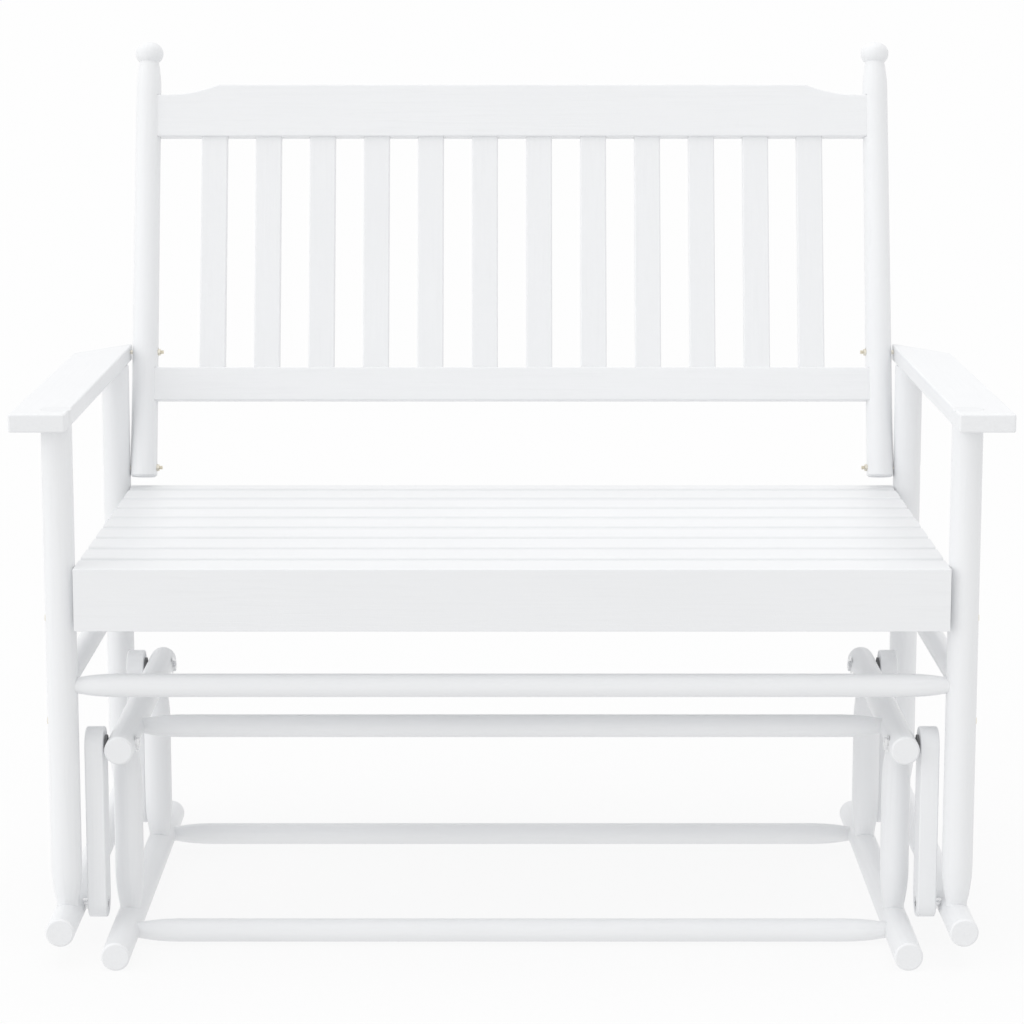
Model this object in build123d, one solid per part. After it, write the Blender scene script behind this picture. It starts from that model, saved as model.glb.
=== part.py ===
from build123d import *
import os
from math import acos, cos, degrees, radians, sin, tan

# A two-seat glider bench in painted wood. A fixed base stands on two round runners. Four links
# hang from the base's top rails, and a seat frame with a reclined slatted back hangs from the
# links' lower ends, so that it glides to and fro without tilting.
# X runs across the bench, Y from front to rear and Z up from the floor, all in millimetres.
# Y is measured from the middle of the base while the pieces are made. At the end all pieces are
# moved together, so that the origin lies on the floor under the middle of the whole bench.

# Fits and eased edges
GLUE_GAP = 0.1
SEAT_GAP = 0.3
RUN_GAP = 0.06
EASE = 2.0
SOCKET_DEPTH = 15.0
LEG_SOCKET_DEPTH = 7.5

# Round bars
RUNNER_D = 32.0
LEG_D = 34.0
BASE_LEG_D = 32.5
LEG_END_D = 24.0
LEG_TAPER = 44.0
STRETCHER_D = 26.0
STRETCHER_END_D = 18.0
STRETCHER_TAPER = 44.0
SIDE_STRETCHER_END_D = 16.0

# Plan of the seat frame and of the links beside it
SWING_X = 498.0
LINK_T = 20.8
LINK_INNER_GAP = 3.0
LINK_OUTER_GAP = 5.2
PIVOT_Y = 182.0

# Fixed base: the top rails run past the pivots, and the legs stand a little inside them
BASE_RUNNER_LENGTH = 552.0
TOP_RAIL_OVERHANG = 33.0
TOP_RAIL_Z = 233.0
BASE_LEG_INSET = 42.0
UPPER_STRETCHER_Y = -106.0
LOWER_STRETCHER_Y = 184.0

# Links: the lower pivots lie a little above the middle of the seat frame's runners
LINK_W = 40.0
LINK_TOP_MARGIN = 19.0
LINK_FOOT_MARGIN = 14.0
LINK_CORNER_R = 19.0
LINK_EDGE_R = 1.5
FOOT_PIVOT_RISE = 4.0

# Seat frame
SWING_RUNNER_Z = 42.5
SWING_RUNNER_FRONT_Y = -273.0
SWING_RUNNER_REAR_Y = 336.0
FRONT_LEG_Y = -210.0
REAR_LEG_Y = 273.0
FRONT_STRETCHER_Z = 307.0
SIDE_STRETCHER_Z = 309.0
REAR_LEG_TENON = 12.0
LEG_TOP_EASE = 0.4

# Arms
ARM_TOP_Z = 616.5
ARM_T = 20.0
ARM_W = 62.0
ARM_INNER_OFFSET = 15.0
ARM_FRONT_Y = -247.0
ARM_INNER_REAR_Y = 335.0
ARM_OUTER_REAR_Y = 245.0
ARM_CORNER_R = 3.0

# Seat: the rear apron stands between the rear legs, with a narrower slat on it
SEAT_TOP_Z = 442.5
SEAT_FRONT_Y = -232.0
SEAT_SLATS = 9
REAR_SLAT_W = 30.0
SEAT_SLAT_GAP = 6.0
SEAT_SLAT_T = 18.0
SEAT_SLAT_EDGE_R = 6.0
APRON_H = 69.5
APRON_T = 16.0
APRON_EDGE_R = 1.0
REAR_APRON_T = 26.0
SEAT_RAIL_T = 25.0

# Back
RECLINE = 14.9
POST_D = 33.4
POST_TOP_D = 31.4
POST_LENGTH = 557.0
POST_FOOT_Z = 455.5
POST_NECK_D = 24.4
POST_NECK_TAPER = 37.0
KNOB_D = 35.5
KNOB_RING_R = 14.0
BACK_RAIL_T = 20.0
BACK_RAIL_TENON = 8.0
TOP_BACK_RAIL_LOW = 434.0
TOP_BACK_RAIL_H = 67.0
CREST_FLAT_X = 374.5
CREST_DIP_X = 440.0
CREST_DROP = 13.0
CREST_CORNER_R = 6.0
BOTTOM_BACK_RAIL_LOW = 96.0
BOTTOM_BACK_RAIL_H = 42.0
BACK_SLATS = 12
BACK_SLAT_W = 33.0
BACK_SLAT_T = 12.0
BACK_SLAT_PITCH = 68.85
BACK_SLAT_TENON = 10.0

# Pivot hardware
PIVOT_BOLT_D = 8.0
PIVOT_HEAD_D = 16.0
PIVOT_HEAD_T = 2.8
PIVOT_BOLT_TIP = 0.5
BUSH_D = 12.0
BUSH_FLANGE_D = 20.0
PIVOT_WASHER_D = 20.0
PIVOT_WASHER_T = 1.2
PIVOT_NUT_ACROSS = 13.0
PIVOT_NUT_T = 3.5
SPOT_FACE = 1.0
INSERT_D = 12.0
INSERT_DEPTH = 22.0

# Seat and back fastenings: part of a domed head's thickness is rounded off, and the room for a
# spanner round a nut is a multiple of the nut's size across the flats
BOLT_D = 5.0
BOLT_HEAD_D = 12.0
BOLT_HEAD_T = 2.6
DOME_SHARE = 0.8
BOLT_NUT_ROOM = 1.25
SEAT_BOLT_Z = 384.0
SEAT_BOLT_GRIP = 18.0
LEG_SCREW_Z = 267.0
LEG_SCREW_LENGTH = 24.0
BACK_BOLT_Z = 466.5
ARM_BOLT_RISE = 1.8
BACK_NUT_ACROSS = 8.0
BACK_NUT_T = 3.8
BACK_BOLT_TIP = 4.0

# Values that follow from the sizes above
RUNNER_R = RUNNER_D / 2
LEG_R = LEG_D / 2
LEG_END_R = LEG_END_D / 2
STRETCHER_END_R = STRETCHER_END_D / 2
LINK_OUTER_X = SWING_X - RUNNER_R - LINK_OUTER_GAP
LINK_INNER_X = LINK_OUTER_X - LINK_T
BASE_X = LINK_INNER_X - LINK_INNER_GAP - RUNNER_R
BASE_RUNNER_Z = RUNNER_R
BASE_LEG_Y = PIVOT_Y - BASE_LEG_INSET
TOP_RAIL_END_Y = PIVOT_Y + TOP_RAIL_OVERHANG
FOOT_PIVOT_Z = SWING_RUNNER_Z + FOOT_PIVOT_RISE
SEAT_HALF_X = SWING_X - LEG_R - SEAT_GAP
SEAT_LOW_Z = SEAT_TOP_Z - APRON_H
SLAT_LOW_Z = SEAT_TOP_Z - SEAT_SLAT_T
SEAT_REAR_Y = REAR_LEG_Y + REAR_APRON_T / 2
SEAT_PITCH = (SEAT_REAR_Y - REAR_SLAT_W - SEAT_FRONT_Y) / (SEAT_SLATS - 1)
SEAT_SLAT_W = SEAT_PITCH - SEAT_SLAT_GAP
APRON_BACK_Y = SEAT_FRONT_Y + APRON_T
REAR_APRON_FRONT_Y = SEAT_REAR_Y - REAR_APRON_T
ARM_LOW_Z = ARM_TOP_Z - ARM_T
ARM_INNER_X = SWING_X - ARM_INNER_OFFSET
ARM_OUTER_X = ARM_INNER_X + ARM_W
POST_X = SEAT_HALF_X - POST_D / 2
POST_FOOT_Y = REAR_LEG_Y - (BACK_BOLT_Z - POST_FOOT_Z) * tan(radians(RECLINE))
ARM_BOLT_Z = ARM_TOP_Z - ARM_T / 2 + ARM_BOLT_RISE
ARM_BOLT_Y = POST_FOOT_Y + (ARM_BOLT_Z - POST_FOOT_Z) * tan(radians(RECLINE))
TOP_BACK_RAIL_TOP = TOP_BACK_RAIL_LOW + TOP_BACK_RAIL_H
BOTTOM_BACK_RAIL_TOP = BOTTOM_BACK_RAIL_LOW + BOTTOM_BACK_RAIL_H
BACK_RAIL_END_X = POST_X - POST_TOP_D / 2 + BACK_RAIL_TENON
PIVOT_R = PIVOT_BOLT_D / 2
BUSH_BORE_R = PIVOT_R + RUN_GAP
HEAD_ROOM = PIVOT_HEAD_T + 2 * SEAT_GAP
TOP_HEAD_FLOOR_X = LINK_OUTER_X - HEAD_ROOM
FOOT_HEAD_FLOOR_X = LINK_INNER_X + HEAD_ROOM
SIDES = {"left": -1, "right": 1}
ENDS = {"front": -1, "rear": 1}

nodes = {}


def rod(radius, start, end):
    """A plain cylinder from one point to another."""
    span = Vector(*end) - Vector(*start)
    foot = (Align.CENTER, Align.CENTER, Align.MIN)
    return Plane(origin=start, z_dir=span) * Cylinder(radius, span.length, align=foot)


def rod_x(radius, side, x_from, x_to, y, z):
    """A cylinder across the bench, between two distances from the middle on one side."""
    return rod(radius, (side * x_from, y, z), (side * x_to, y, z))


def block(low, high):
    """A box between two opposite corners."""
    size = [b - a for a, b in zip(low, high)]
    middle = [(a + b) / 2 for a, b in zip(low, high)]
    return Pos(*middle) * Box(*size)


def turned_bar(length, body_d, end_d, taper, tenon):
    """A round bar along Z about the origin, swelling from its plain tenons to its full size."""
    half = length / 2
    body_r = body_d / 2
    end_r = end_d / 2
    tip = half + tenon
    outline = [
        Line((body_r, taper - half), (body_r, half - taper)),
        TangentArc((body_r, half - taper), (end_r, half), tangent=(0, 1)),
        TangentArc((body_r, taper - half), (end_r, -half), tangent=(0, -1)),
        Polyline((end_r, half), (end_r, tip), (0, tip), (0, -tip), (end_r, -tip), (end_r, -half)),
    ]
    return revolve(Plane.XZ * make_face(outline), Axis.Z)


def turned_leg(low, high):
    """A leg of the seat frame along Z, tapered to its tenon at the foot and plain at the top."""
    outline = [
        TangentArc((LEG_R, low + LEG_TAPER), (LEG_END_R, low), tangent=(0, -1)),
        Polyline(
            (LEG_END_R, low),
            (LEG_END_R, low - SOCKET_DEPTH),
            (0, low - SOCKET_DEPTH),
            (0, high),
            (LEG_R - LEG_TOP_EASE, high),
            (LEG_R, high - LEG_TOP_EASE),
            (LEG_R, low + LEG_TAPER),
        ),
    ]
    return revolve(Plane.XZ * make_face(outline), Axis.Z)


def round_bar_y(side_x, low_y, high_y, z):
    """A runner or top rail along Y with eased ends."""
    bar = rod(RUNNER_R, (side_x, low_y, z), (side_x, high_y, z))
    return chamfer(bar.edges().filter_by(GeomType.CIRCLE), EASE)


def hex_prism_x(across, side, x_from, x_to, y, z):
    """A hexagonal nut blank across the bench, between two distances from the middle."""
    plane = Plane(origin=(side * x_from, y, z), x_dir=(0, 1, 0), z_dir=(side, 0, 0))
    flat = plane * RegularPolygon(across / 2, 6, major_radius=False)
    return extrude(flat, x_to - x_from)


def stretcher_socket(side, rail_x, rail_r, depth, y, z):
    """The hole in a rail or leg for a stretcher's tenon, drilled from the inner side."""
    face_x = rail_x - rail_r
    radius = STRETCHER_END_R + GLUE_GAP
    return rod_x(radius, side, face_x - rail_r, face_x + depth + SEAT_GAP, y, z)


def leg_socket(x, y, floor_z, mouth_z):
    """The hole in a runner or top rail for the end of a leg."""
    return rod(LEG_END_R + GLUE_GAP, (x, y, floor_z), (x, y, mouth_z))


# Fixed base: runners and top rails with the sockets for legs and stretchers
def base_runner(side):
    x = side * BASE_X
    bar = round_bar_y(x, -BASE_RUNNER_LENGTH / 2, BASE_RUNNER_LENGTH / 2, BASE_RUNNER_Z)
    for end in ENDS.values():
        bar -= leg_socket(x, end * BASE_LEG_Y, RUNNER_D - SOCKET_DEPTH - SEAT_GAP, 2 * RUNNER_D)
        bar -= stretcher_socket(
            side, BASE_X, RUNNER_R, SOCKET_DEPTH, end * LOWER_STRETCHER_Y, BASE_RUNNER_Z
        )
    return bar


def top_rail(side):
    x = side * BASE_X
    low_z = TOP_RAIL_Z - RUNNER_R
    inner_x = BASE_X - RUNNER_R
    bar = round_bar_y(x, -TOP_RAIL_END_Y, TOP_RAIL_END_Y, TOP_RAIL_Z)
    bar -= stretcher_socket(side, BASE_X, RUNNER_R, SOCKET_DEPTH, UPPER_STRETCHER_Y, TOP_RAIL_Z)
    for end in ENDS.values():
        bar -= leg_socket(x, end * BASE_LEG_Y, low_z - RUNNER_R, low_z + SOCKET_DEPTH + SEAT_GAP)
        pivot_y = end * PIVOT_Y
        bar -= rod_x(
            PIVOT_R + GLUE_GAP, side, inner_x - RUNNER_R, BASE_X + RUNNER_D, pivot_y, TOP_RAIL_Z
        )
        bar -= rod_x(
            PIVOT_WASHER_D / 2 + GLUE_GAP, side, inner_x - RUNNER_R, inner_x + SPOT_FACE,
            pivot_y, TOP_RAIL_Z,
        )
    return bar


base_leg_length = TOP_RAIL_Z - RUNNER_R - RUNNER_D
base_leg = turned_bar(base_leg_length, BASE_LEG_D, LEG_END_D, LEG_TAPER, SOCKET_DEPTH)
base_bar = turned_bar(
    2 * (BASE_X - RUNNER_R), STRETCHER_D, STRETCHER_END_D, STRETCHER_TAPER, SOCKET_DEPTH
)
base_stretcher = Rot(0, 90, 0) * base_bar
for side_name, side in SIDES.items():
    nodes[f"base_runner_{side_name}"] = base_runner(side)
    nodes[f"base_top_rail_{side_name}"] = top_rail(side)
    for end_name, end in ENDS.items():
        place = Pos(side * BASE_X, end * BASE_LEG_Y, RUNNER_D + base_leg_length / 2)
        nodes[f"base_leg_{end_name}_{side_name}"] = place * base_leg
nodes["base_upper_stretcher"] = Pos(0, UPPER_STRETCHER_Y, TOP_RAIL_Z) * base_stretcher
for end_name, end in ENDS.items():
    place = Pos(0, end * LOWER_STRETCHER_Y, BASE_RUNNER_Z)
    nodes[f"base_lower_stretcher_{end_name}"] = place * base_stretcher


# Links with a bush at each pivot, and with the bolts' heads let into their faces
def link(side, pivot_y):
    low_z = FOOT_PIVOT_Z - LINK_FOOT_MARGIN
    high_z = TOP_RAIL_Z + LINK_TOP_MARGIN
    middle = (side * LINK_INNER_X, pivot_y, (low_z + high_z) / 2)
    plane = Plane(origin=middle, x_dir=(0, 1, 0), z_dir=(side, 0, 0))
    bar = extrude(plane * RectangleRounded(LINK_W, high_z - low_z, LINK_CORNER_R), LINK_T)
    bar = fillet(bar.faces().filter_by(Axis.X).edges(), LINK_EDGE_R)
    before_x = LINK_INNER_X - LINK_T
    beyond_x = LINK_OUTER_X + LINK_T
    for z in (FOOT_PIVOT_Z, TOP_RAIL_Z):
        bar -= rod_x(BUSH_D / 2 + GLUE_GAP, side, before_x, beyond_x, pivot_y, z)
    head_room_r = PIVOT_HEAD_D / 2 + SEAT_GAP
    bar -= rod_x(head_room_r, side, TOP_HEAD_FLOOR_X, beyond_x, pivot_y, TOP_RAIL_Z)
    bar -= rod_x(head_room_r, side, before_x, FOOT_HEAD_FLOOR_X, pivot_y, FOOT_PIVOT_Z)
    return bar


def link_bushes(side, pivot_y):
    """A sleeve at each pivot, with a flange at the top one that keeps the link off the rail."""
    flange_x = LINK_INNER_X - LINK_INNER_GAP + SEAT_GAP
    upper = rod_x(BUSH_D / 2, side, LINK_INNER_X, TOP_HEAD_FLOOR_X, pivot_y, TOP_RAIL_Z)
    upper += rod_x(BUSH_FLANGE_D / 2, side, flange_x, LINK_INNER_X, pivot_y, TOP_RAIL_Z)
    lower = rod_x(BUSH_D / 2, side, FOOT_HEAD_FLOOR_X, LINK_OUTER_X, pivot_y, FOOT_PIVOT_Z)
    before_x = LINK_INNER_X - LINK_T
    beyond_x = LINK_OUTER_X + LINK_T
    return [
        upper - rod_x(BUSH_BORE_R, side, before_x, beyond_x, pivot_y, TOP_RAIL_Z),
        lower - rod_x(BUSH_BORE_R, side, before_x, beyond_x, pivot_y, FOOT_PIVOT_Z),
    ]


for side_name, side in SIDES.items():
    for end_name, end in ENDS.items():
        nodes[f"link_{end_name}_{side_name}"] = link(side, end * PIVOT_Y)
        nodes[f"link_bushes_{end_name}_{side_name}"] = link_bushes(side, end * PIVOT_Y)


# Seat frame: runners, legs and stretchers
def swing_runner(side):
    x = side * SWING_X
    top_z = SWING_RUNNER_Z + RUNNER_R
    inner_x = SWING_X - RUNNER_R
    bar = round_bar_y(x, SWING_RUNNER_FRONT_Y, SWING_RUNNER_REAR_Y, SWING_RUNNER_Z)
    for leg_y in (FRONT_LEG_Y, REAR_LEG_Y):
        bar -= leg_socket(x, leg_y, top_z - SOCKET_DEPTH - SEAT_GAP, top_z + RUNNER_R)
    floor_x = inner_x + INSERT_DEPTH + SEAT_GAP
    for end in ENDS.values():
        bar -= rod_x(
            INSERT_D / 2 + GLUE_GAP, side, inner_x - RUNNER_R, floor_x, end * PIVOT_Y, FOOT_PIVOT_Z
        )
    return bar


def seat_leg(side, leg_y, high_z, bolt_heights, side_socket_way):
    """A leg of the seat frame with its stretcher sockets and its bolt holes."""
    x = side * SWING_X
    outer_x = SWING_X + LEG_R
    leg = Pos(x, leg_y, 0) * turned_leg(SWING_RUNNER_Z + RUNNER_R, high_z)
    leg -= stretcher_socket(side, SWING_X, LEG_R, LEG_SOCKET_DEPTH, leg_y, FRONT_STRETCHER_Z)
    socket_floor = leg_y + side_socket_way * (LEG_R - LEG_SOCKET_DEPTH - SEAT_GAP)
    leg -= rod(
        SIDE_STRETCHER_END_D / 2 + GLUE_GAP,
        (x, socket_floor, SIDE_STRETCHER_Z),
        (x, leg_y + side_socket_way * LEG_D, SIDE_STRETCHER_Z),
    )
    for bolt_z, bolt_end_x, head_depth in bolt_heights:
        leg -= rod_x(BOLT_D / 2 + GLUE_GAP, side, bolt_end_x, outer_x + LEG_R, leg_y, bolt_z)
        leg -= rod_x(
            BOLT_HEAD_D / 2 + GLUE_GAP, side, outer_x - head_depth, outer_x + LEG_R, leg_y, bolt_z
        )
    return leg


leg_screw_end_x = SWING_X + LEG_R - SPOT_FACE - LEG_SCREW_LENGTH
through_x = SWING_X - LEG_D
seat_bolt_way = (SEAT_BOLT_Z, through_x, SPOT_FACE)
front_leg_bolts = [seat_bolt_way, (LEG_SCREW_Z, leg_screw_end_x - SEAT_GAP, SPOT_FACE)]
rear_leg_bolts = [seat_bolt_way, (BACK_BOLT_Z, through_x, BOLT_HEAD_T)]
for side_name, side in SIDES.items():
    nodes[f"seat_runner_{side_name}"] = swing_runner(side)
    nodes[f"front_leg_{side_name}"] = seat_leg(side, FRONT_LEG_Y, ARM_TOP_Z, front_leg_bolts, 1)
    rear_leg = seat_leg(side, REAR_LEG_Y, ARM_LOW_Z, rear_leg_bolts, -1)
    tenon_x = side * SWING_X
    rear_leg += rod(
        LEG_END_R, (tenon_x, REAR_LEG_Y, ARM_LOW_Z), (tenon_x, REAR_LEG_Y, ARM_LOW_Z + REAR_LEG_TENON)
    )
    nodes[f"rear_leg_{side_name}"] = rear_leg

seat_bar = turned_bar(
    2 * (SWING_X - LEG_R), STRETCHER_D, STRETCHER_END_D, STRETCHER_TAPER, LEG_SOCKET_DEPTH
)
seat_stretcher = Rot(0, 90, 0) * seat_bar
nodes["front_stretcher"] = Pos(0, FRONT_LEG_Y, FRONT_STRETCHER_Z) * seat_stretcher
nodes["rear_stretcher"] = Pos(0, REAR_LEG_Y, FRONT_STRETCHER_Z) * seat_stretcher
side_bar = Rot(90, 0, 0) * turned_bar(
    REAR_LEG_Y - FRONT_LEG_Y - LEG_D, STRETCHER_D, SIDE_STRETCHER_END_D, STRETCHER_TAPER,
    LEG_SOCKET_DEPTH,
)
for side_name, side in SIDES.items():
    place = Pos(side * SWING_X, (FRONT_LEG_Y + REAR_LEG_Y) / 2, SIDE_STRETCHER_Z)
    nodes[f"side_stretcher_{side_name}"] = place * side_bar


# Arms: boards with a slanted rear end, notched round the front legs
def arm_cut_x(y):
    """Distance from the middle to the slanted rear end of the arm at one depth."""
    share = (ARM_INNER_REAR_Y - y) / (ARM_INNER_REAR_Y - ARM_OUTER_REAR_Y)
    return ARM_INNER_X + share * ARM_W


arm_bolt_head_x = arm_cut_x(ARM_BOLT_Y) - BOLT_HEAD_T


def arm(side):
    plan = [
        (side * ARM_INNER_X, ARM_FRONT_Y),
        (side * ARM_OUTER_X, ARM_FRONT_Y),
        (side * ARM_OUTER_X, ARM_OUTER_REAR_Y),
        (side * ARM_INNER_X, ARM_INNER_REAR_Y),
    ]
    board = extrude(Pos(0, 0, ARM_LOW_Z) * make_face(Polyline(*plan, close=True)), ARM_T, dir=(0, 0, 1))
    board = fillet(board.edges().filter_by(Axis.Z), ARM_CORNER_R)
    board = fillet(board.faces().filter_by(Axis.Z).edges(), EASE)
    x = side * SWING_X
    board -= rod(LEG_R + GLUE_GAP, (x, FRONT_LEG_Y, ARM_LOW_Z - ARM_T), (x, FRONT_LEG_Y, ARM_TOP_Z + ARM_T))
    board -= leg_socket(x, REAR_LEG_Y, ARM_LOW_Z - ARM_T, ARM_LOW_Z + REAR_LEG_TENON + SEAT_GAP)
    bolt_hole_r = BOLT_D / 2 + GLUE_GAP
    board -= rod_x(bolt_hole_r, side, ARM_INNER_X - ARM_W, ARM_OUTER_X, ARM_BOLT_Y, ARM_BOLT_Z)
    head_r = BOLT_HEAD_D / 2 + GLUE_GAP
    board -= rod_x(head_r, side, arm_bolt_head_x, ARM_OUTER_X, ARM_BOLT_Y, ARM_BOLT_Z)
    return board


for side_name, side in SIDES.items():
    nodes[f"arm_{side_name}"] = arm(side)


# Seat: aprons and rails under the slats
def apron(low_y, high_y, high_z, show_way):
    """A board across the seat with the long edges of the face that shows eased."""
    board = block((-SEAT_HALF_X, low_y, SEAT_LOW_Z), (SEAT_HALF_X, high_y, high_z))
    face = board.faces().sort_by(show_way)[-1]
    return fillet(face.edges().filter_by(Axis.X), APRON_EDGE_R)


def seat_bolt_hole(side, leg_y):
    """The hole for a bolt that comes through a leg into the seat."""
    end_x = SEAT_HALF_X - SEAT_BOLT_GRIP - SEAT_GAP
    return rod_x(BOLT_D / 2 + GLUE_GAP, side, end_x, SWING_X, leg_y, SEAT_BOLT_Z)


nodes["front_apron"] = apron(SEAT_FRONT_Y, APRON_BACK_Y, SEAT_TOP_Z, -Axis.Y)
rear_apron = apron(REAR_APRON_FRONT_Y, SEAT_REAR_Y, SLAT_LOW_Z, Axis.Y)
for side_name, side in SIDES.items():
    limits = sorted((side * (SEAT_HALF_X - SEAT_RAIL_T), side * SEAT_HALF_X))
    rail = block((limits[0], APRON_BACK_Y, SEAT_LOW_Z), (limits[1], REAR_APRON_FRONT_Y, SLAT_LOW_Z))
    nodes[f"seat_rail_{side_name}"] = rail - seat_bolt_hole(side, FRONT_LEG_Y)
    rear_apron -= seat_bolt_hole(side, REAR_LEG_Y)
nodes["rear_apron"] = rear_apron
nodes["seat_rail_middle"] = block(
    (-SEAT_RAIL_T / 2, APRON_BACK_Y, SEAT_LOW_Z), (SEAT_RAIL_T / 2, REAR_APRON_FRONT_Y, SLAT_LOW_Z)
)

# Slats, rounded along their upper edges except where the first one meets the apron
for number in range(SEAT_SLATS):
    low_y = SEAT_FRONT_Y + number * SEAT_PITCH
    high_y = min(low_y + SEAT_SLAT_W, SEAT_REAR_Y)
    if number == 0:
        low_y = APRON_BACK_Y
    slat = block((-SEAT_HALF_X, low_y, SLAT_LOW_Z), (SEAT_HALF_X, high_y, SEAT_TOP_Z))
    edges = slat.faces().sort_by(Axis.Z)[-1].edges().filter_by(Axis.X).sort_by(Axis.Y)
    rounded = edges[1:] if number == 0 else edges
    nodes[f"seat_slat_{number + 1}"] = fillet(rounded, SEAT_SLAT_EDGE_R)

# Back: made upright about the posts' feet, then leaned to the rear
BACK_PLACE = Pos(0, POST_FOOT_Y, POST_FOOT_Z) * Rot(-RECLINE, 0, 0)


def post_radius(height):
    """Radius of the plain part of a post at a height along it."""
    share = height / (POST_LENGTH - 2 * KNOB_RING_R - POST_NECK_TAPER)
    return (POST_D + share * (POST_TOP_D - POST_D)) / 2


def post_blank():
    """The turned post: slightly tapered, drawn in to a neck under a flattened ball knob."""
    neck_r = POST_NECK_D / 2
    ring_x = KNOB_D / 2 - KNOB_RING_R
    ring_z = POST_LENGTH - KNOB_RING_R
    neck_angle = degrees(acos((neck_r - ring_x) / KNOB_RING_R))
    neck_z = ring_z - KNOB_RING_R * sin(radians(neck_angle))
    shoulder_z = neck_z - POST_NECK_TAPER
    shoulder_r = post_radius(shoulder_z)
    foot_r = POST_D / 2
    outline = [
        CenterArc((ring_x, ring_z), KNOB_RING_R, -neck_angle, neck_angle + 90),
        TangentArc((shoulder_r, shoulder_z), (neck_r, neck_z), tangent=(0, 1)),
        Polyline(
            (ring_x, POST_LENGTH), (0, POST_LENGTH), (0, 0), (foot_r - EASE, 0), (foot_r, EASE),
            (shoulder_r, shoulder_z),
        ),
    ]
    return revolve(Plane.XZ * make_face(outline), Axis.Z)


def rail_mortise(side, low_z, high_z):
    """The slot in a post that takes the end of a back rail."""
    half_t = BACK_RAIL_T / 2 + GLUE_GAP
    limits = sorted((side * (POST_X - POST_D), side * (BACK_RAIL_END_X + SEAT_GAP)))
    return block((limits[0], -half_t, low_z - GLUE_GAP), (limits[1], half_t, high_z + GLUE_GAP))


def back_post(side):
    post = Pos(side * POST_X, 0, 0) * post_blank()
    post -= rail_mortise(side, TOP_BACK_RAIL_LOW, TOP_BACK_RAIL_TOP - CREST_DROP)
    post -= rail_mortise(side, BOTTOM_BACK_RAIL_LOW, BOTTOM_BACK_RAIL_TOP)
    post = BACK_PLACE * post
    for bolt_y, bolt_z in ((REAR_LEG_Y, BACK_BOLT_Z), (ARM_BOLT_Y, ARM_BOLT_Z)):
        post -= rod_x(BOLT_D / 2 + GLUE_GAP, side, POST_X - POST_D, POST_X + POST_D, bolt_y, bolt_z)
        post -= rod_x(
            BACK_NUT_ACROSS / 2 * BOLT_NUT_ROOM, side, POST_X - POST_D, nut_seat_x(bolt_z), bolt_y, bolt_z
        )
    return post


def nut_seat_x(bolt_z):
    """Distance from the middle to the flat that a nut bears on, on the inner side of a post."""
    height = (bolt_z - POST_FOOT_Z) / cos(radians(RECLINE))
    return POST_X - post_radius(height) + SPOT_FACE


def slat_x(number):
    """Distance of a back slat's middle from the middle of the bench."""
    return (number - (BACK_SLATS - 1) / 2) * BACK_SLAT_PITCH


def slat_mortises(rail, low_z, high_z):
    """The rail with the slots that the back slats' ends go into."""
    half_w = BACK_SLAT_W / 2 + GLUE_GAP
    half_t = BACK_SLAT_T / 2 + GLUE_GAP
    for number in range(BACK_SLATS):
        x = slat_x(number)
        rail -= block((x - half_w, -half_t, low_z), (x + half_w, half_t, high_z))
    return rail


def top_back_rail():
    side_z = TOP_BACK_RAIL_TOP - CREST_DROP
    shape = [
        Polyline(
            (-CREST_DIP_X, side_z), (-BACK_RAIL_END_X, side_z), (-BACK_RAIL_END_X, TOP_BACK_RAIL_LOW),
            (BACK_RAIL_END_X, TOP_BACK_RAIL_LOW), (BACK_RAIL_END_X, side_z), (CREST_DIP_X, side_z),
        ),
        TangentArc((CREST_DIP_X, side_z), (CREST_FLAT_X, TOP_BACK_RAIL_TOP), tangent=(-1, 0)),
        TangentArc((-CREST_DIP_X, side_z), (-CREST_FLAT_X, TOP_BACK_RAIL_TOP), tangent=(1, 0)),
        Line((-CREST_FLAT_X, TOP_BACK_RAIL_TOP), (CREST_FLAT_X, TOP_BACK_RAIL_TOP)),
    ]
    rail = extrude(Plane.XZ * make_face(shape), BACK_RAIL_T / 2, both=True)
    crest_edges = rail.edges().filter_by(Axis.Y).group_by(Axis.Z)[-1]
    rail = fillet(crest_edges, CREST_CORNER_R)
    rail = fillet(rail.faces().filter_by(Axis.Y).edges(), EASE)
    return slat_mortises(
        rail, TOP_BACK_RAIL_LOW - BACK_SLAT_TENON, TOP_BACK_RAIL_LOW + BACK_SLAT_TENON + SEAT_GAP
    )


def bottom_back_rail():
    half_t = BACK_RAIL_T / 2
    rail = block(
        (-BACK_RAIL_END_X, -half_t, BOTTOM_BACK_RAIL_LOW), (BACK_RAIL_END_X, half_t, BOTTOM_BACK_RAIL_TOP)
    )
    rail = fillet(rail.edges().filter_by(Axis.X), EASE)
    return slat_mortises(
        rail, BOTTOM_BACK_RAIL_TOP - BACK_SLAT_TENON - SEAT_GAP, BOTTOM_BACK_RAIL_TOP + BACK_SLAT_TENON
    )


def back_slat(number):
    half_w = BACK_SLAT_W / 2
    half_t = BACK_SLAT_T / 2
    x = slat_x(number)
    slat = block(
        (x - half_w, -half_t, BOTTOM_BACK_RAIL_TOP - BACK_SLAT_TENON),
        (x + half_w, half_t, TOP_BACK_RAIL_LOW + BACK_SLAT_TENON),
    )
    return fillet(slat.edges().filter_by(Axis.Z), EASE)


for side_name, side in SIDES.items():
    nodes[f"back_post_{side_name}"] = back_post(side)
nodes["back_top_rail"] = BACK_PLACE * top_back_rail()
nodes["back_bottom_rail"] = BACK_PLACE * bottom_back_rail()
nodes["back_slats"] = [BACK_PLACE * back_slat(number) for number in range(BACK_SLATS)]

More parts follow.
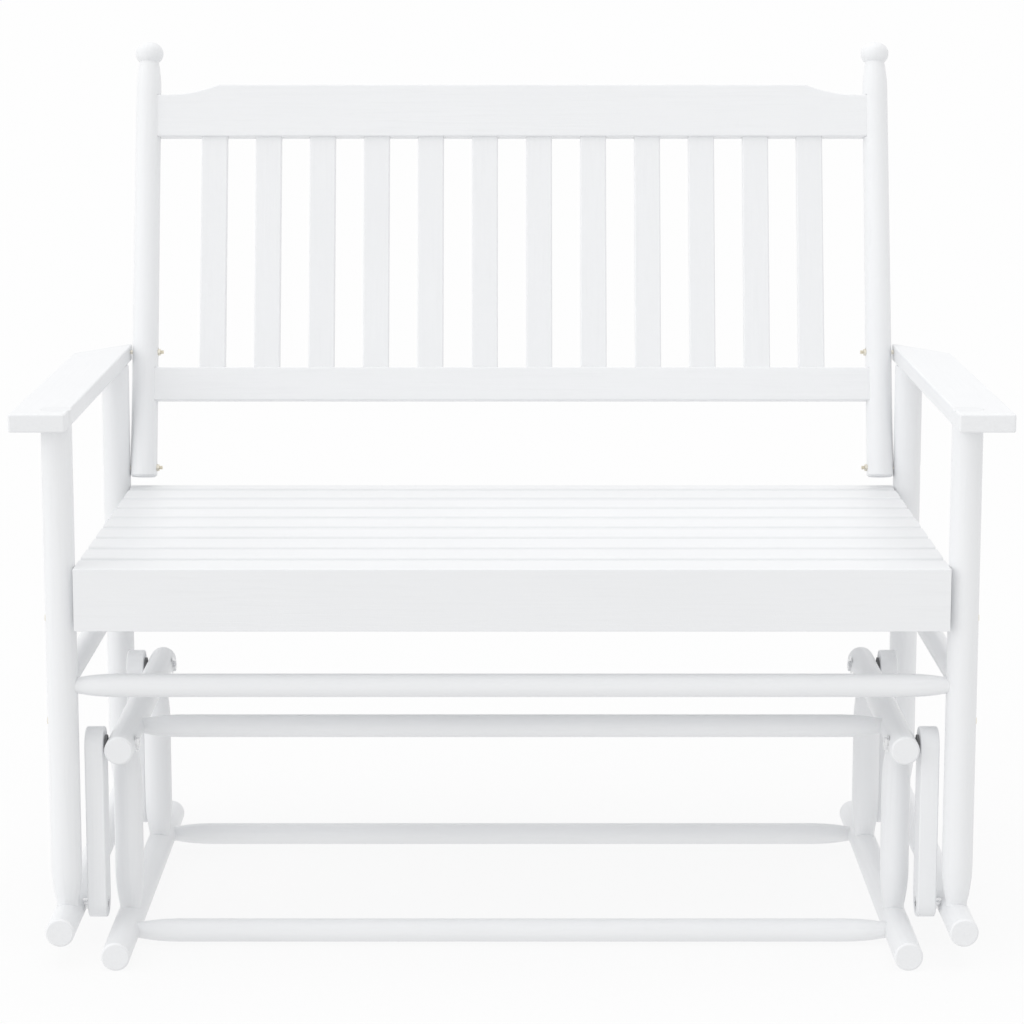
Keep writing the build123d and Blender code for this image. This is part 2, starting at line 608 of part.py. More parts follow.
# Top pivots: flat-headed bolts through link and rail, held by a washer and nut inside the base
top_bolts, top_washers, top_nuts = [], [], []
bottom_bolts, bottom_inserts = [], []
nut_face_x = BASE_X - RUNNER_R + SPOT_FACE - PIVOT_WASHER_T
tip_x = nut_face_x - PIVOT_NUT_T - PIVOT_BOLT_TIP
insert_x = LINK_OUTER_X + SEAT_GAP
shank_end_x = SWING_X - RUNNER_R + INSERT_DEPTH
for side in SIDES.values():
    for end in ENDS.values():
        y = end * PIVOT_Y
        head_x = TOP_HEAD_FLOOR_X + SEAT_GAP
        bolt = rod_x(PIVOT_R, side, tip_x, head_x, y, TOP_RAIL_Z)
        top_bolts.append(bolt + rod_x(PIVOT_HEAD_D / 2, side, head_x, head_x + PIVOT_HEAD_T, y, TOP_RAIL_Z))
        hole = rod_x(PIVOT_R + GLUE_GAP, side, tip_x, head_x, y, TOP_RAIL_Z)
        washer = rod_x(PIVOT_WASHER_D / 2, side, nut_face_x, nut_face_x + PIVOT_WASHER_T, y, TOP_RAIL_Z)
        top_washers.append(washer - hole)
        nut = hex_prism_x(PIVOT_NUT_ACROSS, side, nut_face_x - PIVOT_NUT_T, nut_face_x, y, TOP_RAIL_Z)
        top_nuts.append(nut - hole)

        # Bottom pivots: the head lies in the link's inner face, and the shank is screwed into an
        # insert that stands out of the runner and keeps the link off it
        head_x = FOOT_HEAD_FLOOR_X - SEAT_GAP
        bolt = rod_x(PIVOT_R, side, head_x, shank_end_x, y, FOOT_PIVOT_Z)
        head = rod_x(PIVOT_HEAD_D / 2, side, head_x - PIVOT_HEAD_T, head_x, y, FOOT_PIVOT_Z)
        bottom_bolts.append(bolt + head)
        insert = rod_x(INSERT_D / 2, side, insert_x, shank_end_x, y, FOOT_PIVOT_Z)
        insert -= rod_x(PIVOT_R + GLUE_GAP, side, head_x, shank_end_x + INSERT_D, y, FOOT_PIVOT_Z)
        bottom_inserts.append(insert)
nodes["top_pivot_bolts"] = top_bolts
nodes["top_pivot_washers"] = top_washers
nodes["top_pivot_nuts"] = top_nuts
nodes["bottom_pivot_bolts"] = bottom_bolts
nodes["bottom_pivot_inserts"] = bottom_inserts


# Bolts through legs and arms, with shallow domed heads on the outer side that lie flush at the back
def domed_bolt(side, seat_x, end_x, y, z):
    bolt = rod_x(BOLT_D / 2, side, end_x, seat_x, y, z)
    head = rod_x(BOLT_HEAD_D / 2, side, seat_x, seat_x + BOLT_HEAD_T, y, z)
    rim = head.edges().filter_by(GeomType.CIRCLE).sort_by(Axis.X)[-1 if side > 0 else 0]
    return bolt + fillet(rim, BOLT_HEAD_T * DOME_SHARE)


leg_seat_x = SWING_X + LEG_R - SPOT_FACE
flush_seat_x = SWING_X + LEG_R - BOLT_HEAD_T
seat_bolts, leg_screws, back_bolts, back_nuts = [], [], [], []
for side in SIDES.values():
    leg_screws.append(domed_bolt(side, leg_seat_x, leg_screw_end_x, FRONT_LEG_Y, LEG_SCREW_Z))
    for leg_y in (FRONT_LEG_Y, REAR_LEG_Y):
        seat_bolts.append(domed_bolt(side, leg_seat_x, SEAT_HALF_X - SEAT_BOLT_GRIP, leg_y, SEAT_BOLT_Z))
    back_bolt_heads = ((flush_seat_x, REAR_LEG_Y, BACK_BOLT_Z), (arm_bolt_head_x, ARM_BOLT_Y, ARM_BOLT_Z))
    for head_x, y, z in back_bolt_heads:
        nut_x = nut_seat_x(z) - BACK_NUT_T
        back_bolts.append(domed_bolt(side, head_x, nut_x - BACK_BOLT_TIP, y, z))
        nut = hex_prism_x(BACK_NUT_ACROSS, side, nut_x, nut_x + BACK_NUT_T, y, z)
        back_nuts.append(nut - rod_x(BOLT_D / 2 + GLUE_GAP, side, nut_x - BOLT_D, head_x, y, z))
nodes["seat_bolts"] = seat_bolts
nodes["leg_screws"] = leg_screws
nodes["back_bolts"] = back_bolts
nodes["back_nuts"] = back_nuts

# Origin on the floor under the middle of the whole bench, then one file for each piece or group
pieces = {}
for name, made in nodes.items():
    solids = made if isinstance(made, list) else [made]
    pieces[name] = Compound([solid for piece in solids for solid in piece.solids()])
bounds = Compound(list(pieces.values())).bounding_box()
to_origin = Pos(0, -bounds.center().Y, 0)
print("middle of the base lies at Y", round(-bounds.center().Y, 4), "in the finished frame")
os.makedirs("parts", exist_ok=True)
for name, piece in pieces.items():
    export_step(to_origin * piece, f"parts/{name}.step")
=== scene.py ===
from collections import namedtuple
from math import cos, pi, radians
import bpy
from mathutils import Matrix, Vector


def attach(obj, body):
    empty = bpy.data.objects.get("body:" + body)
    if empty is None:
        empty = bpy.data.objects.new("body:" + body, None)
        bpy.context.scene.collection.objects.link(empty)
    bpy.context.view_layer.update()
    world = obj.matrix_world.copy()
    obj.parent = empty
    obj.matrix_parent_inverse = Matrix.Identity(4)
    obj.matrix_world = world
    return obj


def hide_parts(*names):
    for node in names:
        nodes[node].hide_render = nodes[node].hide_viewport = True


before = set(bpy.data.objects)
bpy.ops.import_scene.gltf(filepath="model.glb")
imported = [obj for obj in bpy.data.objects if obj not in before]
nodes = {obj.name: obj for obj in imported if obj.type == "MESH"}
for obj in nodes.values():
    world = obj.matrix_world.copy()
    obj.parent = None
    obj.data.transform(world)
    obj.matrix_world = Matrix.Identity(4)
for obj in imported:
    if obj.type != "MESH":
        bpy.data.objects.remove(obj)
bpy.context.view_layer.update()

# Fixed base: two runners and two top rails of round bar, four turned legs and three stretchers.
# They are hardwood, glued into round sockets and sprayed with white satin paint, which leaves the
# grain as a faint relief and lies a little duller on the sawn ends.
SIDES = ("left", "right")
ENDS = ("front", "rear")
PAINT = (0.852, 0.86, 0.872, 1.0)
THIN_PAINT = (0.775, 0.783, 0.795, 1.0)
# Darker paint colour laid on the long edges as painted shade for the gaps between the seat slats
PAINTED_GAP_SHADE = (0.55, 0.555, 0.565, 1.0)
PAINT_SPECULAR = 0.42
GRAIN_STRENGTH = 0.5
GRAIN_HEIGHT = 0.0005
WHOLE = (0.0, 1.0)


def new_group(name, inputs, outputs):
    """A shader node group with named sockets, and the two nodes that stand for its ends."""
    group = bpy.data.node_groups.new(name, "ShaderNodeTree")
    for way, sockets in (("INPUT", inputs), ("OUTPUT", outputs)):
        for socket, kind in sockets.items():
            group.interface.new_socket(socket, in_out=way, socket_type=f"NodeSocket{kind}")
    return group, group.nodes.new("NodeGroupInput"), group.nodes.new("NodeGroupOutput")


def add_noise(tree, vector, scale, detail, distortion=0.0):
    """A noise texture on these coordinates."""
    noise = tree.nodes.new("ShaderNodeTexNoise")
    noise.inputs["Scale"].default_value = scale
    noise.inputs["Detail"].default_value = detail
    noise.inputs["Distortion"].default_value = distortion
    tree.links.new(vector, noise.inputs["Vector"])
    return noise.outputs["Fac"]


def add_range(tree, value, before, after):
    """A value carried over from one range to another, and held within it."""
    change = tree.nodes.new("ShaderNodeMapRange")
    change.inputs["From Min"].default_value, change.inputs["From Max"].default_value = before
    change.inputs["To Min"].default_value, change.inputs["To Max"].default_value = after
    tree.links.new(value, change.inputs["Value"])
    return change.outputs["Result"]


def add_math(tree, operation, *terms):
    """One step of arithmetic on sockets and plain numbers."""
    step = tree.nodes.new("ShaderNodeMath")
    step.operation = operation
    for socket, term in zip(step.inputs, terms):
        if isinstance(term, float):
            socket.default_value = term
        else:
            tree.links.new(term, socket)
    return step.outputs["Value"]


def add_mix(tree, factor, first, second):
    """A blend of two colours, each of them a socket or a plain colour."""
    mix = tree.nodes.new("ShaderNodeMix")
    mix.data_type = "RGBA"
    tree.links.new(factor, mix.inputs["Factor"])
    for name, colour in (("A", first), ("B", second)):
        if isinstance(colour, tuple):
            mix.inputs[name].default_value = colour
        else:
            tree.links.new(colour, mix.inputs[name])
    return mix.outputs["Result"]


def paint_over_grain():
    """Colour, roughness and relief of sprayed paint on wood whose grain runs along Z, with painted shade on
    the long edges.
    """
    GRAIN_STRETCH = (1.0, 1.0, 0.045)
    SAWN_FACING = (0.9, 0.99)
    EDGE_FACING = (0.15, 0.7)
    DRIFTS, DRIFT_DEPTH = (0.35, 0.7), (0.0, 0.2)
    VEINS, VEIN_DEPTH = (0.47, 0.72), (0.0, 0.25)
    SAWN_DEPTH = 0.2
    SATIN = (0.3, 0.46)
    SAWN_DULLNESS = 0.16
    DIMPLE_SHARE = 0.35
    group, inside, outside = new_group(
        "paint_over_grain",
        {"Vector": "Vector", "Normal": "Vector", "Paint": "Color", "Shade": "Color", "Painted Gap Shade": "Float"},
        {"Color": "Color", "Roughness": "Float", "Height": "Float"})

    # Long streaks of grain, the fine dimples of the spray and the slow drift of the paint's depth
    stretch = group.nodes.new("ShaderNodeVectorMath")
    stretch.operation = "MULTIPLY"
    stretch.inputs[1].default_value = GRAIN_STRETCH
    group.links.new(inside.outputs["Vector"], stretch.inputs[0])
    streaks = add_noise(group, stretch.outputs["Vector"], scale=260.0, detail=5.0, distortion=0.4)
    dimples = add_noise(group, inside.outputs["Vector"], scale=900.0, detail=1.5)
    drift = add_noise(group, inside.outputs["Vector"], scale=5.5, detail=2.5)

    # Sawn ends face along the grain, and a board's long edges face across it
    facing = group.nodes.new("ShaderNodeSeparateXYZ")
    group.links.new(inside.outputs["Normal"], facing.inputs["Vector"])
    sawn = add_range(group, add_math(group, "ABSOLUTE", facing.outputs["Z"]), SAWN_FACING, WHOLE)
    edge = add_range(group, add_math(group, "ABSOLUTE", facing.outputs["Y"]), EDGE_FACING, WHOLE)

    # The paint is thinner over the grain's veins, here and there by chance, and on sawn ends
    drifts = add_range(group, drift, DRIFTS, DRIFT_DEPTH)
    veins = add_range(group, streaks, VEINS, VEIN_DEPTH)
    thin = add_math(group, "MULTIPLY_ADD", sawn, SAWN_DEPTH, add_math(group, "MAXIMUM", drifts, veins))
    tone = add_mix(group, thin, inside.outputs["Paint"], inside.outputs["Shade"])

    # Painted shade on the long edges, standing in for the shadow in the gaps between the seat slats
    shaded_edges = add_math(group, "MULTIPLY", edge, inside.outputs["Painted Gap Shade"])
    group.links.new(add_mix(group, shaded_edges, tone, PAINTED_GAP_SHADE), outside.inputs["Color"])
    satin = add_range(group, drift, WHOLE, SATIN)
    dull = add_math(group, "MULTIPLY_ADD", sawn, SAWN_DULLNESS, satin)
    group.links.new(dull, outside.inputs["Roughness"])
    relief = add_math(group, "MULTIPLY_ADD", dimples, DIMPLE_SHARE, streaks)
    group.links.new(relief, outside.inputs["Height"])
    return group


def new_material(name):
    material = bpy.data.materials.new(name)
    material.use_nodes = True
    return material


def join_to_shader(tree, marks, strength, distance):
    """Leads a group's colour, roughness and relief to the shader of a material."""
    shader = tree.nodes["Principled BSDF"]
    bump = tree.nodes.new("ShaderNodeBump")
    bump.inputs["Strength"].default_value = strength
    bump.inputs["Distance"].default_value = distance
    tree.links.new(marks.outputs["Height"], bump.inputs["Height"])
    tree.links.new(marks.outputs["Color"], shader.inputs["Base Color"])
    tree.links.new(marks.outputs["Roughness"], shader.inputs["Roughness"])
    tree.links.new(bump.outputs["Normal"], shader.inputs["Normal"])


paint_group = paint_over_grain()


def white_paint(name, turn, gap_shade=0.0):
    """White satin paint on wood whose grain runs along Z once its coordinates have been turned, with painted
    shade on its long edges as strong as the last argument asks.
    """
    material = new_material(name)
    tree = material.node_tree
    tree.nodes["Principled BSDF"].inputs["Specular IOR Level"].default_value = PAINT_SPECULAR
    place = tree.nodes.new("ShaderNodeTexCoord")
    film = tree.nodes.new("ShaderNodeGroup")
    film.node_tree = paint_group
    film.inputs["Paint"].default_value = PAINT
    film.inputs["Shade"].default_value = THIN_PAINT
    film.inputs["Painted Gap Shade"].default_value = gap_shade
    for output, kind, socket in (("Object", "POINT", "Vector"), ("Normal", "VECTOR", "Normal")):
        turned = tree.nodes.new("ShaderNodeMapping")
        turned.vector_type = kind
        turned.inputs["Rotation"].default_value = turn
        tree.links.new(place.outputs[output], turned.inputs["Vector"])
        tree.links.new(turned.outputs["Vector"], film.inputs[socket])
    join_to_shader(tree, film, GRAIN_STRENGTH, GRAIN_HEIGHT)
    return material


def coat(material, names):
    """Gives the CAD nodes of these names one finish."""
    for name in names:
        nodes[name].data.materials.clear()
        nodes[name].data.materials.append(material)


GRAIN_UP = (0.0, 0.0, 0.0)
GRAIN_TO_REAR = (radians(90), 0.0, 0.0)
GRAIN_TO_SIDE = (0.0, radians(90), 0.0)
paint_on_upright = white_paint("white_paint_on_uprights", GRAIN_UP)
paint_on_rail = white_paint("white_paint_on_rails", GRAIN_TO_REAR)
paint_on_crossbar = white_paint("white_paint_on_crossbars", GRAIN_TO_SIDE)
coat(paint_on_rail, [f"base_{bar}_{side}" for bar in ("runner", "top_rail") for side in SIDES])
coat(paint_on_upright, [f"base_leg_{end}_{side}" for end in ENDS for side in SIDES])
coat(paint_on_crossbar, ["base_upper_stretcher"] + [f"base_lower_stretcher_{end}" for end in ENDS])

# Links: four upright wooden bars with rounded ends, painted like the base.
# Each turns on a dark nylon bush at its upper and at its lower end.
NYLON = (0.15, 0.15, 0.153, 1.0)
PALE_NYLON = (0.24, 0.24, 0.245, 1.0)
NYLON_GLOSS = (0.4, 0.62)


def moulded_nylon():
    """Nylon with a fine mottle in its colour and in its gloss."""
    material = new_material("black_nylon")
    tree = material.node_tree
    shader = tree.nodes["Principled BSDF"]
    place = tree.nodes.new("ShaderNodeTexCoord")
    mottle = add_noise(tree, place.outputs["Object"], scale=650.0, detail=3.0)
    tree.links.new(add_mix(tree, mottle, NYLON, PALE_NYLON), shader.inputs["Base Color"])
    tree.links.new(add_range(tree, mottle, WHOLE, NYLON_GLOSS), shader.inputs["Roughness"])
    return material


corners = [f"{end}_{side}" for end in ENDS for side in SIDES]
coat(paint_on_upright, [f"link_{corner}" for corner in corners])
coat(moulded_nylon(), [f"link_bushes_{corner}" for corner in corners])

# Seat frame: two runners, four turned legs, two arm boards and four stretchers, all painted wood.
# The front legs go up through the arms, and the rear legs are let into them from below.
coat(paint_on_rail, [f"{bar}_{side}" for bar in ("seat_runner", "arm", "side_stretcher") for side in SIDES])
coat(paint_on_upright, [f"{end}_leg_{side}" for end in ENDS for side in SIDES])
coat(paint_on_crossbar, [f"{end}_stretcher" for end in ENDS])

# Seat: a frame of aprons and rails that carries nine slats with rounded upper edges.
# The front apron is as deep as the whole seat and hides the frame from the front, and the slats'
# edges, where they face each other, are darkened with painted shade for the shadow in the gaps.
SEAT_SLATS = 9
# Strength of the painted shade on the slats' facing edges, for the shadow in the gaps between them
SLAT_GAP_SHADE = 0.22
coat(paint_on_crossbar, [f"{end}_apron" for end in ENDS])
paint_on_slat = white_paint("white_paint_on_seat_slats", GRAIN_TO_SIDE, gap_shade=SLAT_GAP_SHADE)
coat(paint_on_slat, [f"seat_slat_{number + 1}" for number in range(SEAT_SLATS)])
coat(paint_on_rail, [f"seat_rail_{place}" for place in ("left", "middle", "right")])

# Back: two turned posts with knobs, a shaped top rail, a plain bottom rail and twelve slats.
# The whole back leans to the rear, so the grain of its posts and slats leans with it.
RECLINE = radians(14.9)
paint_on_back = white_paint("white_paint_on_back", (RECLINE, 0.0, 0.0))
coat(paint_on_back, [f"back_post_{side}" for side in SIDES] + ["back_slats"])
coat(paint_on_crossbar, ["back_top_rail", "back_bottom_rail"])

# Top pivots: bright zinc plated steel bolts through link and top rail, each held by a washer and a
# hexagon nut on the inner side of the rail. The flat head is let into the link and has a hexagon
# socket, and the shank is threaded at its end.
BRIGHT_ZINC = (0.88, 0.885, 0.89, 1.0)
BLOOMED_ZINC = (0.72, 0.725, 0.735, 1.0)
PLATING_GLOSS = (0.18, 0.4)
SCUFF_STRENGTH = 0.15
SCUFF_HEIGHT = 0.0001
PIVOT_SHANK_R = 0.004
PIVOT_HEAD_T = 0.0028
PIVOT_RIM = 0.0004
PIVOT_PITCH = 0.00125
TOP_TURNS = 8
BORE_GAP = 0.0001
END_FACING = 0.9
SMOOTH_ANGLE = radians(32)
UP, DOWN = 1, -1
OUT, IN = 1, -1
Fit = namedtuple("Fit", "radius length inner_x outer_x y z")


def plating_marks():
    """Colour, roughness and relief of a plated surface with a cloudy bloom and fine scuffs."""
    group, inside, outside = new_group(
        "plating_marks",
        {"Vector": "Vector", "Bright": "Color", "Dull": "Color"},
        {"Color": "Color", "Roughness": "Float", "Height": "Float"})
    bloom = add_noise(group, inside.outputs["Vector"], scale=380.0, detail=4.0)
    scuffs = add_noise(group, inside.outputs["Vector"], scale=2200.0, detail=2.0)
    tone = add_mix(group, bloom, inside.outputs["Bright"], inside.outputs["Dull"])
    group.links.new(tone, outside.inputs["Color"])
    group.links.new(add_range(group, bloom, WHOLE, PLATING_GLOSS), outside.inputs["Roughness"])
    group.links.new(scuffs, outside.inputs["Height"])
    return group


plating_group = plating_marks()


def plated_steel(name, bright, dull):
    """Steel plated in a colour that is bright in places and duller where it has bloomed."""
    material = new_material(name)
    tree = material.node_tree
    tree.nodes["Principled BSDF"].inputs["Metallic"].default_value = 1.0
    place = tree.nodes.new("ShaderNodeTexCoord")
    marks = tree.nodes.new("ShaderNodeGroup")
    marks.node_tree = plating_group
    marks.inputs["Bright"].default_value = bright
    marks.inputs["Dull"].default_value = dull
    tree.links.new(place.outputs["Object"], marks.inputs["Vector"])
    join_to_shader(tree, marks, SCUFF_STRENGTH, SCUFF_HEIGHT)
    return material


def right_fits(name):
    """Size and place of each fastener in a CAD node, on the bench's right side."""
    NEAR = 0.03
    groups = []
    for vertex in nodes[name].data.vertices:
        point = vertex.co
        if point.x < 0:
            continue
        for group in groups:
            if (point.yz - group[0].yz).length < NEAR:
                group.append(point)
                break
        else:
            groups.append([point])
    fits = []
    for group in groups:
        low, high = (Vector(pick(p[axis] for p in group) for axis in range(3)) for pick in (min, max))
        middle = (low + high) / 2
        fits.append(Fit((high.z - low.z) / 2, high.x - low.x, low.x, high.x, middle.y, middle.z))
    return fits


def add_tube(radius, low, high, sides=48):
    """A cylinder up the axis, as the start of a turned piece, left as the active object."""
    bpy.ops.object.select_all(action="DESELECT")
    middle = (0, 0, (low + high) / 2)
    bpy.ops.mesh.primitive_cylinder_add(vertices=sides, radius=radius, depth=high - low, location=middle)
    bpy.ops.object.transform_apply(location=True, rotation=True, scale=True)
    return bpy.context.object


def pick_ends(piece, *ways):
    """Selects, in edit mode, the faces that look these ways along the axis."""
    bpy.ops.object.mode_set(mode="EDIT")
    bpy.ops.mesh.select_mode(type="FACE")
    bpy.ops.mesh.select_all(action="DESELECT")
    bpy.ops.object.mode_set(mode="OBJECT")
    for face in piece.data.polygons:
        face.select = any(face.normal.z * way > END_FACING for way in ways)
    bpy.ops.object.mode_set(mode="EDIT")


def draw_out(step, ratio):
    """Extrudes the chosen end face along the axis and makes it wider or narrower."""
    bpy.ops.mesh.extrude_region_move(TRANSFORM_OT_translate={"value": (0, 0, step)})
    bpy.ops.transform.resize(value=(ratio, ratio, 1))


def cut(piece, tool, operation):
    """Joins or cuts one closed shape with another and removes the tool."""
    change = piece.modifiers.new("shape", "BOOLEAN")
    change.operation = operation
    change.object = tool
    change.solver = "EXACT"
    bpy.ops.object.select_all(action="DESELECT")
    piece.select_set(True)
    bpy.context.view_layer.objects.active = piece
    bpy.ops.object.modifier_apply(modifier=change.name)
    bpy.data.objects.remove(tool, do_unlink=True)


def ease_rims(piece, width, steps, *ways):
    """Bevels the rims of the end faces that look these ways."""
    pick_ends(piece, *ways)
    bpy.ops.mesh.select_mode(type="EDGE")
    bpy.ops.mesh.bevel(offset=width, segments=steps)
    bpy.ops.object.mode_set(mode="OBJECT")


def socket_bolt(head_r, head_t, rim, shank_r, length, pitch, turns):
    """A bolt that stands on its head, with a hexagon socket below and a thread at the top."""
    SOCKET_SHARE = 0.5
    SOCKET_DEPTH = 0.6
    ROOT_SHARE = 0.86
    RIM_STEPS = 5
    bolt = add_tube(head_r, 0, head_t)
    ease_rims(bolt, rim, RIM_STEPS, DOWN)
    pick_ends(bolt, UP)
    bpy.ops.mesh.inset(thickness=head_r - shank_r)
    draw_out(length - head_t - (turns + 0.5) * pitch, 1)
    for turn in range(turns):
        draw_out(pitch / 2, ROOT_SHARE)
        draw_out(pitch / 2, 1 / ROOT_SHARE)
    draw_out(pitch / 2, ROOT_SHARE)
    bpy.ops.object.mode_set(mode="OBJECT")
    cut(bolt, add_tube(head_r * SOCKET_SHARE, -head_t, head_t * SOCKET_DEPTH, sides=6), "DIFFERENCE")
    return bolt


def flat_washer(radius, thickness, bore):
    """A punched washer that lies on the origin, with its rims rounded over."""
    RIM_SHARE = 0.25
    RIM_STEPS = 2
    washer = add_tube(radius, 0, thickness)
    ease_rims(washer, thickness * RIM_SHARE, RIM_STEPS, UP, DOWN)
    cut(washer, add_tube(bore, -thickness, 2 * thickness), "DIFFERENCE")
    return washer


def hexagon_nut(across, thickness, bore):
    """A nut that lies on the origin, with chamfered corners on both faces and a countersunk bore."""
    CHAMFER = 0.12
    CHAMFER_SLOPE = 0.577
    CROWN_SIDES = 72
    COUNTERSINK = 0.0003
    corner_r = across / 2 / cos(radians(30))
    nut = add_tube(corner_r, 0, thickness, sides=6)
    crown = add_tube(corner_r, 0, thickness / CHAMFER_SLOPE, CROWN_SIDES)
    ease_rims(crown, corner_r * CHAMFER, 1, UP, DOWN)
    crown.scale = (1, 1, CHAMFER_SLOPE)
    bpy.ops.object.transform_apply(location=True, rotation=True, scale=True)
    cut(nut, crown, "INTERSECT")
    hole = add_tube(bore, 0, thickness)
    for way in (UP, DOWN):
        pick_ends(hole, way)
        bpy.ops.transform.translate(value=(0, 0, -way * COUNTERSINK))
        draw_out(way * 2 * COUNTERSINK, 1 + 2 * COUNTERSINK / bore)
        bpy.ops.object.mode_set(mode="OBJECT")
    cut(nut, hole, "DIFFERENCE")
    return nut


def set_across(pattern, name, facing, place, body, material, replaced):
    """Copies a fastener to both sides of the bench, facing out or in, each copy with its own mesh."""
    for side_name, side in zip(SIDES, (-1, 1)):
        bpy.ops.object.select_all(action="DESELECT")
        pattern.select_set(True)
        bpy.context.view_layer.objects.active = pattern
        bpy.ops.object.duplicate(linked=False)
        piece = bpy.context.object
        piece.name = f"{name}_{side_name}"
        piece.location = (side * place[0], place[1], place[2])
        piece.rotation_euler = (0, facing * side * pi / 2, 0)
        bpy.ops.object.transform_apply(location=True, rotation=True, scale=True)
        bpy.ops.object.shade_smooth_by_angle(angle=SMOOTH_ANGLE)
        piece.data.materials.clear()
        piece.data.materials.append(material)
        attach(piece, body)
        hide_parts(replaced)
    bpy.data.objects.remove(pattern, do_unlink=True)


bright_steel = plated_steel("bright_plated_steel", BRIGHT_ZINC, BLOOMED_ZINC)
for end, fit in zip(ENDS, right_fits("top_pivot_bolts")):
    bolt = socket_bolt(fit.radius, PIVOT_HEAD_T, PIVOT_RIM, PIVOT_SHANK_R, fit.length, PIVOT_PITCH, TOP_TURNS)
    set_across(bolt, f"top_pivot_bolt_{end}", IN, (fit.outer_x, fit.y, fit.z), "base", bright_steel,
               "top_pivot_bolts")
for end, fit in zip(ENDS, right_fits("top_pivot_washers")):
    washer = flat_washer(fit.radius, fit.length, PIVOT_SHANK_R + BORE_GAP)
    set_across(washer, f"top_pivot_washer_{end}", OUT, (fit.inner_x, fit.y, fit.z), "base", bright_steel,
               "top_pivot_washers")
for end, fit in zip(ENDS, right_fits("top_pivot_nuts")):
    nut = hexagon_nut(2 * fit.radius, fit.length, PIVOT_SHANK_R + BORE_GAP)
    set_across(nut, f"top_pivot_nut_{end}", OUT, (fit.inner_x, fit.y, fit.z), "base", bright_steel,
               "top_pivot_nuts")

# Bottom pivots: the same bolts the other way round, with the head let into the link's inner face.
# They are screwed into threaded steel inserts, which are driven into the seat frame's runners and
# stand out of them to keep the links off.
FOOT_TURNS = 12
for end, fit in zip(ENDS, right_fits("bottom_pivot_bolts")):
    bolt = socket_bolt(fit.radius, PIVOT_HEAD_T, PIVOT_RIM, PIVOT_SHANK_R, fit.length, PIVOT_PITCH,
                       FOOT_TURNS)
    set_across(bolt, f"bottom_pivot_bolt_{end}", OUT, (fit.inner_x, fit.y, fit.z), "glider_seat",
               bright_steel, "bottom_pivot_bolts")
coat(bright_steel, ["bottom_pivot_inserts"])

# Seat and back fastenings: yellow zinc plated bolts with low domed heads and hexagon sockets, sunk
# in round recesses. Four hold the seat to the legs, two sit low in the front legs, and four go
# through the back posts into small hexagon nuts, with the threaded tips standing proud.
YELLOW_ZINC = (0.9, 0.86, 0.76, 1.0)
BLOOMED_YELLOW_ZINC = (0.76, 0.72, 0.62, 1.0)
BOLT_SHANK_R = 0.0025
BOLT_HEAD_R = 0.0045
BOLT_HEAD_T = 0.0014
BOLT_HEAD_SUNK = 0.0012
BOLT_RIM = 0.0009
BOLT_PITCH = 0.0008
BOLT_TURNS = 14
yellow_zinc = plated_steel("yellow_zinc_plated_steel", YELLOW_ZINC, BLOOMED_YELLOW_ZINC)
for name in ("seat_bolts", "leg_screws", "back_bolts"):
    for number, fit in enumerate(right_fits(name)):
        head_x = fit.outer_x - BOLT_HEAD_SUNK
        length = fit.length - BOLT_HEAD_SUNK
        bolt = socket_bolt(BOLT_HEAD_R, BOLT_HEAD_T, BOLT_RIM, BOLT_SHANK_R, length, BOLT_PITCH, BOLT_TURNS)
        set_across(bolt, f"{name[:-1]}_{number + 1}", IN, (head_x, fit.y, fit.z), "glider_seat", yellow_zinc,
                   name)
for number, fit in enumerate(right_fits("back_nuts")):
    nut = hexagon_nut(2 * fit.radius, fit.length, BOLT_SHANK_R + BORE_GAP)
    set_across(nut, f"back_nut_{number + 1}", OUT, (fit.inner_x, fit.y, fit.z), "glider_seat", yellow_zinc,
               "back_nuts")

# Studio: a wide pale floor that keeps a faint shadow, an even white surround, and three broad soft
# lights, from the left, from above and, much weaker, from the front.
# The camera stands in front of the bench, a little above it, as in the photograph.
FLOOR_W = 200.0
FLOOR_TONE = (0.12, 0.12, 0.12, 1.0)
FLOOR_GLOW = 0.855
SURROUND_TONE = (1.0, 1.0, 1.0, 1.0)
SURROUND_LIGHT = 0.82
SURROUND_SHOWN = 0.985
LAMP_SPREAD = radians(60)
LAMP_PLACE = (0, 0, 3)
CAMERA_PLACE = (0.0, -3.46693, 1.11419)
CAMERA_TILT = 8.897
CAMERA_LENS = 103.701
CAMERA_SHIFT = -0.1
FILM_W = 36.0
bpy.ops.object.select_all(action="DESELECT")
bpy.ops.mesh.primitive_plane_add(size=FLOOR_W, location=(0, 0, 0))
floor = bpy.context.object
floor.name = "floor"
floor.visible_diffuse = False
floor_paint = new_material("pale_floor")
tree = floor_paint.node_tree
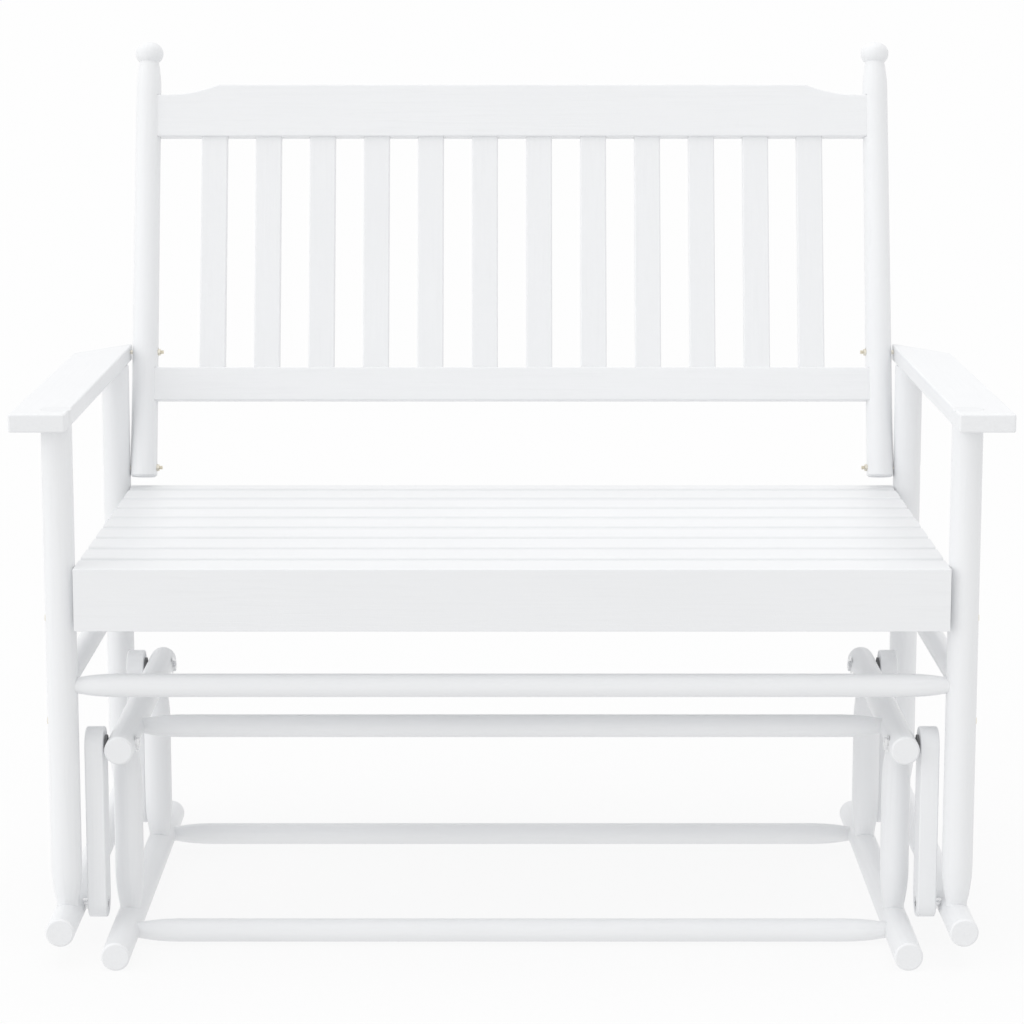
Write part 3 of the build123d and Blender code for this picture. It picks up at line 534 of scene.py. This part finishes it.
tree.nodes.remove(tree.nodes["Principled BSDF"])
shadow = tree.nodes.new("ShaderNodeBsdfDiffuse")
shadow.inputs["Color"].default_value = FLOOR_TONE
glow = tree.nodes.new("ShaderNodeEmission")
glow.inputs["Strength"].default_value = FLOOR_GLOW
lit = tree.nodes.new("ShaderNodeAddShader")
tree.links.new(shadow.outputs["BSDF"], lit.inputs[0])
tree.links.new(glow.outputs["Emission"], lit.inputs[1])
tree.links.new(lit.outputs["Shader"], tree.nodes["Material Output"].inputs["Surface"])
floor.data.materials.append(floor_paint)

# The surround shows brighter, to the eye and in the metal, than it lights the bench
world = bpy.data.worlds.new("studio")
bpy.context.scene.world = world
world.use_nodes = True
tree = world.node_tree
surround = tree.nodes["Background"]
surround.inputs["Color"].default_value = SURROUND_TONE
ray = tree.nodes.new("ShaderNodeLightPath")
seen = add_math(tree, "MAXIMUM", ray.outputs["Is Camera Ray"], ray.outputs["Is Glossy Ray"])
shown = add_math(tree, "MAXIMUM", seen, ray.outputs["Is Transmission Ray"])
level = add_range(tree, shown, WHOLE, (SURROUND_LIGHT, SURROUND_SHOWN))
tree.links.new(level, surround.inputs["Strength"])


def soft_light(name, from_left, height, power):
    """A broad distant light, aimed from degrees left of the front and degrees above the floor."""
    bpy.ops.object.light_add(type="SUN", location=LAMP_PLACE)
    lamp = bpy.context.object
    lamp.name = name
    lamp.data.angle = LAMP_SPREAD
    lamp.data.energy = power
    lamp.visible_glossy = False
    lamp.rotation_euler = (radians(90 - height), 0, radians(-from_left))


soft_light("key_light", from_left=70, height=20, power=0.71)
soft_light("front_light", from_left=0, height=8, power=0.165)
soft_light("top_light", from_left=0, height=90, power=0.69)

bpy.ops.object.camera_add(location=CAMERA_PLACE, rotation=(radians(90 - CAMERA_TILT), 0, 0))
camera = bpy.context.object
camera.data.sensor_width = FILM_W
camera.data.lens = CAMERA_LENS
camera.data.shift_y = CAMERA_SHIFT
bpy.context.scene.camera = camera
bpy.context.scene.view_settings.view_transform = "Standard"
